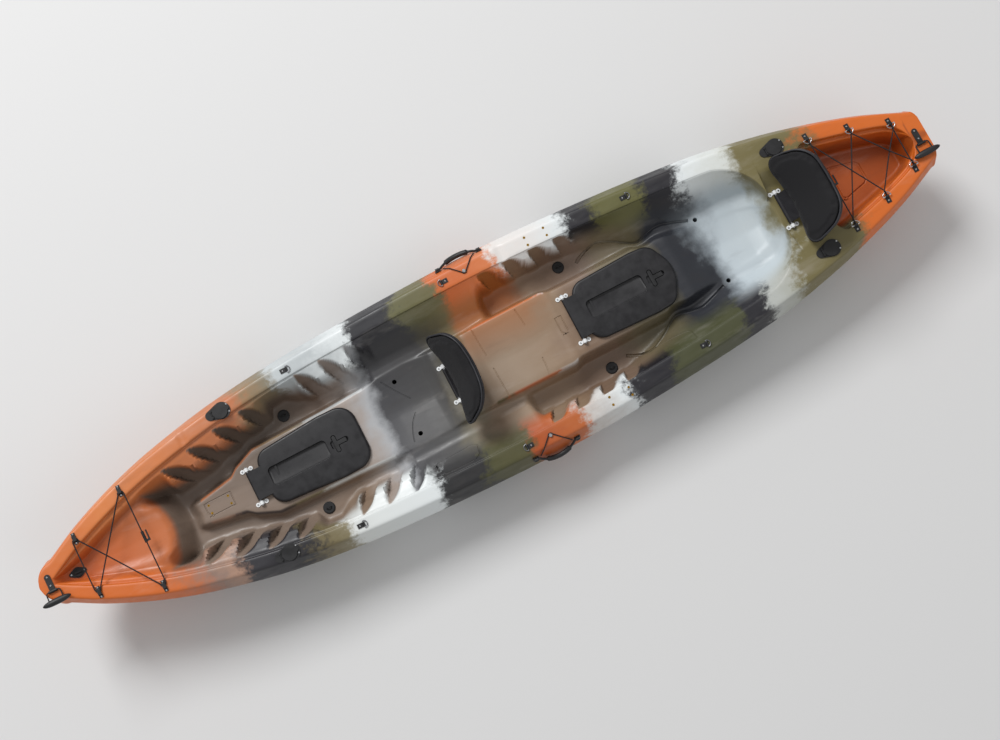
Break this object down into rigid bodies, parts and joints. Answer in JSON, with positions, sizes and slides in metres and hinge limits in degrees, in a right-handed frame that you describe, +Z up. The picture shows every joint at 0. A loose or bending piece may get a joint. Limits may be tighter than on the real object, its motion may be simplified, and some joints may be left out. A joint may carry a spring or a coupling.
{
  "type": "tandem kayak",
  "caption": "Wide sit-on-top tandem kayak in marbled moulded plastic, with hinged hatches, folding backrests, capped rod tubes, scupper plugs, carry handles and bungee wells.",
  "frame": {"origin": "middle of the boat at the level of the keel", "axes": "+X aft towards the stern, +Y to starboard, +Z up"},
  "size_m": [3.7258, 0.8882, 0.4683],
  "materials": {
    "moulded_polyethylene": "marbled, slightly textured",
    "black_plastic": "fine grain",
    "white_plastic": "smooth",
    "black_rubber": "matte",
    "foam_cover": "woven",
    "cord": "braided",
    "steel": "brushed",
    "dark_steel": "black coated",
    "brass": "turned"
  },
  "bodies": {
    "hull": {"hull": "moulded_polyethylene", "front_hatch_rim": "black_plastic", "rear_hatch_rim": "black_plastic", "front_hatch_rod": "steel", "rear_hatch_rod": "steel", "hatch_straps": "white_plastic", "front_backrest_rod": "steel", "rear_backrest_rod": "steel", "backrest_straps": "white_plastic", "front_rod_holders": "black_plastic", "rear_rod_holders": "black_plastic", "drain_flange": "black_plastic", "bow_handle_plate": "black_plastic", "stern_handle_plate": "black_plastic", "side_handle_fittings": "black_plastic", "paddle_keepers": "cord", "gunwale_tabs": "black_plastic", "tank_tabs": "black_plastic", "tank_rings": "steel", "bow_pad_eyes": "black_plastic", "bow_bungee": "cord", "stern_bungee": "cord", "bungee_hooks": "black_plastic", "brass_inserts": "brass", "deck_screws": "steel"},
    "front_lid": {"front_hatch_lid": "black_plastic", "front_hatch_gasket": "black_rubber"},
    "front_latch": {"front_latch_handle": "black_plastic"},
    "front_tongue": {"front_latch_tongue": "steel"},
    "rear_lid": {"rear_hatch_lid": "black_plastic", "rear_hatch_gasket": "black_rubber"},
    "rear_latch": {"rear_latch_handle": "black_plastic"},
    "rear_tongue": {"rear_latch_tongue": "steel"},
    "front_backrest": {"front_backrest_shell": "black_plastic", "front_backrest_pad": "foam_cover"},
    "rear_backrest": {"rear_backrest_shell": "black_plastic", "rear_backrest_pad": "foam_cover"},
    "rod_cap_front_stbd": {"rod_cap_front_stbd": "black_plastic"},
    "rod_cap_front_port": {"rod_cap_front_port": "black_plastic"},
    "rod_cap_rear_stbd": {"rod_cap_rear_stbd": "black_plastic"},
    "rod_cap_rear_port": {"rod_cap_rear_port": "black_plastic"},
    "plug_front_stbd": {"plug_front_stbd": "black_rubber"},
    "plug_front_port": {"plug_front_port": "black_rubber"},
    "plug_rear_stbd": {"plug_rear_stbd": "black_rubber"},
    "plug_rear_port": {"plug_rear_port": "black_rubber"},
    "plug_tank_stbd": {"plug_tank_stbd": "black_rubber"},
    "plug_tank_port": {"plug_tank_port": "black_rubber"},
    "drain_plug": {"drain_plug": "black_rubber"},
    "bow_toggle": {"bow_handle_cord": "cord", "bow_handle_toggle": "black_plastic"},
    "stern_toggle": {"stern_handle_cord": "cord", "stern_handle_toggle": "black_plastic"},
    "side_handle_stbd": {"side_handle_stbd": "black_plastic"},
    "side_handle_port": {"side_handle_port": "black_plastic"},
    "ring_fore_stbd": {"ring_fore_stbd": "dark_steel"},
    "ring_fore_port": {"ring_fore_port": "dark_steel"},
    "ring_mid_stbd": {"ring_mid_stbd": "dark_steel"},
    "ring_mid_port": {"ring_mid_port": "dark_steel"},
    "ring_aft_stbd": {"ring_aft_stbd": "dark_steel"},
    "ring_aft_port": {"ring_aft_port": "dark_steel"}
  },
  "joints": [
    {"name": "front_lid_hinge", "type": "hinge", "parent": "hull", "child": "front_lid", "pos_m": [-1.034, 0, 0.1822], "axis": [0, -1, 0], "range_deg": [0, 110]},
    {"name": "front_latch_turn", "type": "hinge", "parent": "front_lid", "child": "front_latch", "pos_m": [-0.641, 0, 0.1845], "axis": [0, 1, 0], "range_deg": [0, 100]},
    {"name": "front_tongue_slide", "type": "slide", "parent": "front_lid", "child": "front_tongue", "axis": [-1, 0, 0], "range_m": [0, 0.008]},
    {"name": "rear_lid_hinge", "type": "hinge", "parent": "hull", "child": "rear_lid", "pos_m": [0.342, 0, 0.2422], "axis": [0, -1, 0], "range_deg": [0, 110]},
    {"name": "rear_latch_turn", "type": "hinge", "parent": "rear_lid", "child": "rear_latch", "pos_m": [0.724, 0, 0.2445], "axis": [0, 1, 0], "range_deg": [0, 100]},
    {"name": "rear_tongue_slide", "type": "slide", "parent": "rear_lid", "child": "rear_tongue", "axis": [-1, 0, 0], "range_m": [0, 0.008]},
    {"name": "front_backrest_fold", "type": "hinge", "parent": "hull", "child": "front_backrest", "pos_m": [-0.184, 0, 0.2102], "axis": [0, -1, 0], "range_deg": [0, 85]},
    {"name": "rear_backrest_fold", "type": "hinge", "parent": "hull", "child": "rear_backrest", "pos_m": [1.252, 0, 0.27689], "axis": [0, -1, 0], "range_deg": [0, 60]},
    {"name": "rod_cap_front_stbd_hinge", "type": "hinge", "parent": "hull", "child": "rod_cap_front_stbd", "pos_m": [-1.03626, 0.29626, 0.31285], "axis": [0, -1, 0], "range_deg": [0, 120]},
    {"name": "rod_cap_front_port_hinge", "type": "hinge", "parent": "hull", "child": "rod_cap_front_port", "pos_m": [-1.03626, -0.29626, 0.31285], "axis": [0, -1, 0], "range_deg": [0, 120]},
    {"name": "rod_cap_rear_stbd_hinge", "type": "hinge", "parent": "hull", "child": "rod_cap_rear_stbd", "pos_m": [1.28655, 0.222, 0.32515], "axis": [0, -1, 0], "range_deg": [0, 120]},
    {"name": "rod_cap_rear_port_hinge", "type": "hinge", "parent": "hull", "child": "rod_cap_rear_port", "pos_m": [1.28655, -0.222, 0.32515], "axis": [0, -1, 0], "range_deg": [0, 120]},
    {"name": "plug_front_stbd_pull", "type": "slide", "parent": "hull", "child": "plug_front_stbd", "axis": [0, 0, 1], "range_m": [0, 0.06]},
    {"name": "plug_front_port_pull", "type": "slide", "parent": "hull", "child": "plug_front_port", "axis": [0, 0, 1], "range_m": [0, 0.06]},
    {"name": "plug_rear_stbd_pull", "type": "slide", "parent": "hull", "child": "plug_rear_stbd", "axis": [0, 0, 1], "range_m": [0, 0.06]},
    {"name": "plug_rear_port_pull", "type": "slide", "parent": "hull", "child": "plug_rear_port", "axis": [0, 0, 1], "range_m": [0, 0.06]},
    {"name": "plug_tank_stbd_pull", "type": "slide", "parent": "hull", "child": "plug_tank_stbd", "axis": [0, 0, 1], "range_m": [0, 0.06]},
    {"name": "plug_tank_port_pull", "type": "slide", "parent": "hull", "child": "plug_tank_port", "axis": [0, 0, 1], "range_m": [0, 0.06]},
    {"name": "drain_plug_turn", "type": "hinge", "parent": "hull", "child": "drain_plug", "pos_m": [-1.729, 0, 0.3105], "axis": [0.4094, 0, 0.9124], "range_deg": [0, 180]},
    {"name": "bow_toggle_swing", "type": "hinge", "parent": "hull", "child": "bow_toggle", "pos_m": [-1.81007, -0.029, 0.39614], "axis": [-0.9901, 0, 0.1403], "range_deg": [0, 120]},
    {"name": "stern_toggle_swing", "type": "hinge", "parent": "hull", "child": "stern_toggle", "pos_m": [1.81051, -0.029, 0.35885], "axis": [-0.9972, 0, -0.0745], "range_deg": [0, 120]},
    {"name": "side_handle_stbd_swing", "type": "hinge", "parent": "hull", "child": "side_handle_stbd", "pos_m": [0.056, 0.41287, 0.23808], "axis": [1, 0, 0], "range_deg": [0, 110]},
    {"name": "side_handle_port_swing", "type": "hinge", "parent": "hull", "child": "side_handle_port", "pos_m": [0.056, -0.41287, 0.23808], "axis": [-1, 0, 0], "range_deg": [0, 110]},
    {"name": "ring_fore_stbd_swing", "type": "hinge", "parent": "hull", "child": "ring_fore_stbd", "pos_m": [-0.71378, 0.3277, 0.28846], "axis": [0, -1, 0], "range_deg": [0, 150]},
    {"name": "ring_fore_port_swing", "type": "hinge", "parent": "hull", "child": "ring_fore_port", "pos_m": [-0.71378, -0.3277, 0.28846], "axis": [0, -1, 0], "range_deg": [0, 150]},
    {"name": "ring_mid_stbd_swing", "type": "hinge", "parent": "hull", "child": "ring_mid_stbd", "pos_m": [-0.04204, 0.35445, 0.27301], "axis": [0, 1, 0], "range_deg": [0, 150]},
    {"name": "ring_mid_port_swing", "type": "hinge", "parent": "hull", "child": "ring_mid_port", "pos_m": [-0.04204, -0.35445, 0.27301], "axis": [0, 1, 0], "range_deg": [0, 150]},
    {"name": "ring_aft_stbd_swing", "type": "hinge", "parent": "hull", "child": "ring_aft_stbd", "pos_m": [0.7388, 0.32259, 0.29355], "axis": [0, -1, 0], "range_deg": [0, 150]},
    {"name": "ring_aft_port_swing", "type": "hinge", "parent": "hull", "child": "ring_aft_port", "pos_m": [0.7388, -0.32259, 0.29355], "axis": [0, -1, 0], "range_deg": [0, 150]}
  ],
  "couplings": [
    {"joint": "front_tongue_slide", "follows": "front_latch_turn", "m_per_rad": 0.0045837},
    {"joint": "rear_tongue_slide", "follows": "rear_latch_turn", "m_per_rad": 0.0045837}
  ]
}
